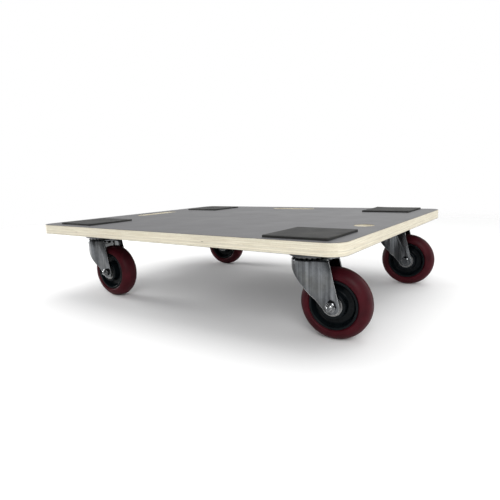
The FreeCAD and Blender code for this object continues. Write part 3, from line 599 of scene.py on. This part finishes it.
def arc(centre, radius, start, end, count):
    """Points on a round corner of an outline, from one angle to another in degrees."""
    points = []
    for step in range(count + 1):
        angle = math.radians(start + (end - start) * step / count)
        points.append((centre[0] + radius * math.cos(angle), centre[1] + radius * math.sin(angle)))
    return points


def both_sides(half):
    """A closed outline from its upper half, mirrored in the middle plane."""
    return half + [(radius, -height) for radius, height in reversed(half) if height]


def turned_piece(name, outline, steps):
    """Spins an outline of (radius, height) points, in millimetres, round Z.

    An outline that starts and ends on the axis is closed by the spin itself.
    """
    bpy.ops.object.select_all(action="DESELECT")
    bpy.ops.mesh.primitive_plane_add(size=1.0, location=(0, 0, 0))
    piece = bpy.context.object
    piece.name = name
    open_for_editing(piece)
    bpy.ops.mesh.merge(type="CENTER")
    points = [Vector((radius, 0.0, height)) * MM for radius, height in outline]
    bpy.ops.transform.translate(value=points[0])
    for start, end in zip(points, points[1:]):
        bpy.ops.mesh.extrude_region_move(TRANSFORM_OT_translate={"value": end - start})
    if outline[0][0] or outline[-1][0]:
        bpy.ops.mesh.select_all(action="SELECT")
        bpy.ops.mesh.edge_face_add()
        bpy.ops.mesh.delete(type="ONLY_FACE")
    bpy.ops.mesh.select_all(action="SELECT")
    bpy.ops.mesh.spin(steps=steps, angle=math.tau, center=(0, 0, 0), axis=(0, 0, 1))
    bpy.ops.mesh.select_all(action="SELECT")
    bpy.ops.mesh.remove_doubles(threshold=0.001 * MM)
    bpy.ops.mesh.normals_make_consistent(inside=False)
    bpy.ops.object.mode_set(mode="OBJECT")
    return piece


def axle_place(corner):
    """Turns a piece drawn round Z on to a corner's axle: X trails, Z runs along the axle."""
    spin = joints[corner + "_wheel_spin"]
    along = Vector(spin["axis"]).normalized()
    trailing = along.cross(Vector((0, 0, 1)))
    down = along.cross(trailing)
    place = Matrix((trailing, down, along)).transposed().to_4x4()
    place.translation = spin["pos_m"]
    return place


def fit_at_corners(pattern, name, body, replaced, corners=CORNERS, turn=None):
    """Puts a copy of a finished piece at each corner, and throws the pattern away."""
    for corner in corners:
        piece = bpy.data.objects.new(corner + "_" + name, pattern.data.copy())
        bpy.context.scene.collection.objects.link(piece)
        place = axle_place(corner)
        if turn:
            place = place @ turn(corner)
        piece.data.transform(place)
        if replaced:
            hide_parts(*(corner + node for node in replaced))
        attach(piece, corner + body)
    bpy.data.objects.remove(pattern)


def mark_radius(piece):
    """Keeps each point's distance from the axle, as a share of the wheel's radius."""
    share = piece.data.attributes.new("rim_share", "FLOAT", "POINT")
    for vertex in piece.data.vertices:
        share.data[vertex.index].value = vertex.co.xy.length / (WHEEL_RADIUS * MM)


CAST_DARK = (0.032, 0.0030, 0.0056, 1.0)
CAST_LIGHT = (0.058, 0.0050, 0.0092, 1.0)
CAST_FLECK = (0.11, 0.035, 0.04, 1.0)
FLOOR_GRIME = (0.08, 0.04, 0.045, 1.0)

polyurethane, tree, shader, place = new_material("cast polyurethane")
rim_share = add_node(tree, "ShaderNodeAttribute", attribute_name="rim_share").outputs["Fac"]
cast = cloud(tree, place, 0.017, 4.0)
fleck = cloud(tree, place, 0.0011, 2.0)
colour = mix_colours(tree, remap(tree, cast, 0.3, 0.7), CAST_DARK, CAST_LIGHT)
colour = mix_colours(tree, remap(tree, fleck, 0.62, 0.75, 0.0, 0.25), colour, CAST_FLECK)
rolled = calculate(
    tree,
    "MULTIPLY",
    remap(tree, rim_share, 0.93, 0.998),
    remap(tree, cloud(tree, place, 0.009, 4.0), 0.30, 0.62, 0.15, 1.0),
)
colour = mix_colours(tree, calculate(tree, "MULTIPLY", rolled, 0.10), colour, FLOOR_GRIME)
tree.links.new(colour, shader.inputs["Base Color"])
rough = remap(tree, cast, 0.3, 0.7, 0.40, 0.50)
rough = calculate(tree, "ADD", rough, calculate(tree, "MULTIPLY", rolled, 0.16))
tree.links.new(rough, shader.inputs["Roughness"])
shader.inputs["Specular IOR Level"].default_value = 0.10
height = calculate(tree, "ADD", cast, calculate(tree, "MULTIPLY", fleck, 0.25))
add_bump(tree, shader, height, 0.0001, 0.6)

bond_line = [(TYRE_BORE, 0.0), (TYRE_BORE, 13.6), (35.0, 13.9), (35.35, 14.25), (35.9, 15.4)]
parting_line = [(49.98, 1.2), (49.90, 0.55), (49.98, 0.32), (WHEEL_RADIUS, 0.0)]
shoulder_centre = (WHEEL_RADIUS - SHOULDER, HALF_TYRE - SHOULDER)
tyre_half = bond_line + arc(shoulder_centre, SHOULDER, 88, 3, 16) + parting_line
tyre = turned_piece("tyre", both_sides(tyre_half), WHEEL_STEPS)
mark_radius(tyre)
give_material(tyre, polyurethane)
smooth_by_angle(tyre, 32)
fit_at_corners(tyre, "cast_tyre", "_wheel", ("_tread",))

hub_plastic, tree, shader, place = new_material("black moulded plastic")
flow = cloud(tree, place, 0.012, 3.0)
colour = mix_colours(
    tree, remap(tree, flow, 0.3, 0.7), (0.0018, 0.003, 0.0038, 1.0), (0.0035, 0.0055, 0.007, 1.0)
)
dust = use_group(tree, dust_group, Place=place, Amount=0.03)["Dust"]
colour = mix_colours(tree, dust, colour, (0.10, 0.10, 0.10, 1.0))
tree.links.new(colour, shader.inputs["Base Color"])
rough = remap(tree, flow, 0.3, 0.7, 0.24, 0.33)
tree.links.new(calculate(tree, "ADD", rough, dust), shader.inputs["Roughness"])
shader.inputs["Specular IOR Level"].default_value = 0.10
skin = calculate(tree, "ADD", flow, calculate(tree, "MULTIPLY", cloud(tree, place, 0.0008), 0.2))
add_bump(tree, shader, skin, 0.00006, 0.5)

hub_half = (
    [(HUB_BORE, 0.0), (HUB_BORE, 10.0), (BEARING_SEAT, 10.0), (BEARING_SEAT, 17.7), (14.3, 18.0)]
    + arc((17.2, 17.2), 0.8, 90, 0, 3)
    + arc((20.2, 7.2), 2.2, 180, 270, 5)
    + arc((25.9, 8.0), 3.0, 270, 345, 6)
    + arc((32.0, 14.0), 1.0, 165, 90, 4)
    + arc((33.6, 14.2), 0.8, 90, 0, 4)
    + [(HUB_RIM, 13.6), (HUB_RIM, 0.0)]
)
wheel_core = turned_piece("wheel core", both_sides(hub_half), HUB_STEPS)
give_material(wheel_core, hub_plastic)
smooth_by_angle(wheel_core, 32)
fit_at_corners(wheel_core, "moulded_hub", "_wheel", ("_hub",))


# ------------------------------------------------------ axle bolt and nut
# An M8 hexagon bolt passes through both legs and is held by a locking nut with
# a nylon ring. Its threaded end stands a few turns proud of the nut.

LEG_FACE = 22.0
HEXAGON = 7.5
HEAD_HEIGHT = 5.3
NUT_HEIGHT = 6.8
BOLT_END = 3.2
THREAD_PITCH = 1.25
THREAD_CREST = 4.0
THREAD_ROOT = 3.35
TURN_OFF = 0.9
COLLAR_HEIGHT = 1.9


def chamfered_hexagon(name, low, high, chamfer_low, chamfer_high):
    """Hexagon block whose points are turned off at one or both faces."""
    bpy.ops.object.select_all(action="DESELECT")
    bpy.ops.mesh.primitive_cylinder_add(
        vertices=6,
        radius=HEXAGON * MM,
        depth=(high - low) * MM,
        location=(0, 0, (high + low) / 2 * MM),
    )
    block = bpy.context.object
    block.name = name
    bpy.ops.object.transform_apply(location=True, rotation=True, scale=True)
    across_flats = HEXAGON * math.cos(math.pi / 6)
    reach = HEXAGON + 1.0
    drop = (reach - across_flats + 0.2) * math.tan(math.radians(30))
    outline = [(0.0, low - (0.0 if chamfer_low else TURN_OFF))]
    if chamfer_low:
        outline += [(across_flats - 0.2, low), (reach, low + drop)]
    else:
        outline += [(reach, low - TURN_OFF)]
    if chamfer_high:
        outline += [(reach, high - drop), (across_flats - 0.2, high), (0.0, high)]
    else:
        outline += [(reach, high + TURN_OFF), (0.0, high + TURN_OFF)]
    turning = turned_piece("turning", outline, 72)
    cut = block.modifiers.new("turned points", "BOOLEAN")
    cut.operation = "INTERSECT"
    cut.solver = "EXACT"
    cut.object = turning
    bpy.context.view_layer.objects.active = block
    bpy.ops.object.modifier_apply(modifier=cut.name)
    bpy.data.objects.remove(turning)
    return block


def join(first, *others):
    bpy.ops.object.select_all(action="DESELECT")
    for piece in (first, *others):
        piece.select_set(True)
    bpy.context.view_layer.objects.active = first
    bpy.ops.object.join()
    return first


def thread(start, end):
    """Outline points of a screw thread along the bolt, from start down to end."""
    points = []
    height = start
    while height - THREAD_PITCH > end:
        points += [
            (THREAD_CREST, height),
            (THREAD_CREST, height - 0.15 * THREAD_PITCH),
            (THREAD_ROOT, height - 0.5 * THREAD_PITCH),
            (THREAD_ROOT, height - 0.65 * THREAD_PITCH),
        ]
        height -= THREAD_PITCH
    return points


bolt_tip = -LEG_FACE - NUT_HEIGHT - BOLT_END
shank = turned_piece(
    "shank",
    [(0.0, LEG_FACE + 1.0), (THREAD_CREST, LEG_FACE + 1.0)]
    + thread(-LEG_FACE + 2.0, bolt_tip + 0.5)
    + [(THREAD_ROOT, bolt_tip + 0.45), (THREAD_ROOT - 0.5, bolt_tip), (0.0, bolt_tip)],
    40,
)
head = chamfered_hexagon("head", LEG_FACE, LEG_FACE + HEAD_HEIGHT, False, True)
bolt = join(head, shank)
give_material(bolt, zinc)
smooth_by_angle(bolt, 28)


def bolt_side(corner):
    return Matrix.Rotation(math.pi, 4, "X") if corner == "back_right" else Matrix.Identity(4)


def bolt_turn(corner):
    """The bolt goes in from the back, but from the front at the back right caster."""
    angle = math.radians(17 + 40 * CORNERS.index(corner))
    return bolt_side(corner) @ Matrix.Rotation(angle, 4, "Z")


fit_at_corners(bolt, "hexagon_bolt", "_swivel", ("_axle_bolt",), turn=bolt_turn)

nut_face = -LEG_FACE - NUT_HEIGHT
nut = chamfered_hexagon("nut", nut_face + COLLAR_HEIGHT, -LEG_FACE, True, False)
collar = turned_piece(
    "collar",
    [(THREAD_CREST + 0.15, nut_face + COLLAR_HEIGHT), (6.0, nut_face + COLLAR_HEIGHT)]
    + arc((5.0, nut_face + 1.0), 1.0, 0, -90, 4)
    + [(THREAD_CREST + 0.6, nut_face), (THREAD_CREST + 0.15, nut_face + 0.4)],
    48,
)
nut = join(nut, collar)
give_material(nut, zinc)
smooth_by_angle(nut, 28)


def nut_turn(corner):
    angle = math.radians(8 + 25 * CORNERS.index(corner))
    return bolt_side(corner) @ Matrix.Rotation(angle, 4, "Z")


fit_at_corners(nut, "locking_nut", "_swivel", ("_axle_nut",), turn=nut_turn)


# ------------------------------------------------------ studio and camera
# A plain pale floor fades into a white surround. A large soft key light stands
# at the front right, one soft light at the left, a low weak one at the right
# and a wide one overhead.

bpy.ops.mesh.primitive_circle_add(vertices=96, radius=9.0, fill_type="NGON", location=(0, 0, 0))
floor = bpy.context.object
floor.name = "studio_floor"
floor_paint, tree, shader, place = new_material("studio floor")
shader.inputs["Base Color"].default_value = (0.90, 0.90, 0.90, 1.0)
shader.inputs["Roughness"].default_value = 0.9
shader.inputs["Specular IOR Level"].default_value = 0.1
distance = add_node(tree, "ShaderNodeVectorMath", {0: place}, operation="LENGTH").outputs["Value"]
fade = add_node(
    tree,
    "ShaderNodeMapRange",
    {0: distance, 1: 0.75, 2: 2.1},
    interpolation_type="SMOOTHSTEP",
).outputs[0]
clear = tree.nodes.new("ShaderNodeBsdfTransparent")
blend = add_node(tree, "ShaderNodeMixShader", {0: fade, 1: shader.outputs[0], 2: clear.outputs[0]})
tree.links.new(blend.outputs[0], tree.nodes["Material Output"].inputs["Surface"])
give_material(floor, floor_paint)

world = bpy.data.worlds.new("studio")
world.use_nodes = True
bpy.context.scene.world = world
tree = world.node_tree
direction = tree.nodes.new("ShaderNodeTexCoord").outputs["Generated"]
toward = add_node(
    tree,
    "ShaderNodeVectorMath",
    {0: direction, 1: (-0.45, -0.89, 0.0)},
    operation="DOT_PRODUCT",
).outputs["Value"]
height = add_node(tree, "ShaderNodeSeparateXYZ", {0: direction}).outputs[2]
room = remap(tree, toward, -0.7, 0.6, 0.92, 0.12)
overhead = remap(tree, height, 0.0, 0.8, 0.0, 0.25)
glow = calculate(tree, "ADD", room, overhead)
seen = tree.nodes.new("ShaderNodeLightPath").outputs["Is Camera Ray"]
strength = add_node(tree, "ShaderNodeMix", {0: seen, 2: glow, 3: 1.0}).outputs[0]
background = tree.nodes["Background"]
background.inputs["Color"].default_value = (1.0, 1.0, 1.0, 1.0)
tree.links.new(strength, background.inputs["Strength"])


def soft_light(name, place, aim, size, power):
    bpy.ops.object.light_add(type="AREA", location=place)
    light = bpy.context.object
    light.name = name
    light.data.shape = "RECTANGLE"
    light.data.size, light.data.size_y = size
    light.data.energy = power
    light.rotation_euler = (Vector(aim) - Vector(place)).to_track_quat("-Z", "Y").to_euler()
    light.visible_camera = False


soft_light("key light", (1.2, -1.8, 1.3), (0.1, 0.0, 0.08), (1.1, 1.1), 28.0)
soft_light("left light", (-1.9, -0.25, 0.45), (0.0, 0.0, 0.08), (0.5, 0.88), 26.0)
soft_light("low right light", (1.8, 0.75, 0.32), (0.1, 0.0, 0.04), (1.0, 0.5), 2.0)
soft_light("top light", (0.0, 0.3, 2.4), (0.0, 0.0, 0.0), (2.4, 2.0), 24.0)

camera_data = bpy.data.cameras.new("camera")
camera = bpy.data.objects.new("camera", camera_data)
bpy.context.scene.collection.objects.link(camera)
camera_data.sensor_width = 36.0
camera_data.lens = 30.451
camera_data.clip_start = 0.01
camera_data.clip_end = 60.0
camera.matrix_world = Matrix(
    (
        (0.815549, -0.068880, 0.574575, 0.50320),
        (0.577710, 0.154628, -0.801462, -0.69215),
        (-0.033641, 0.985569, 0.165899, 0.22080),
        (0.0, 0.0, 0.0, 1.0),
    )
)
bpy.context.scene.camera = camera
bpy.context.scene.view_settings.view_transform = "Standard"
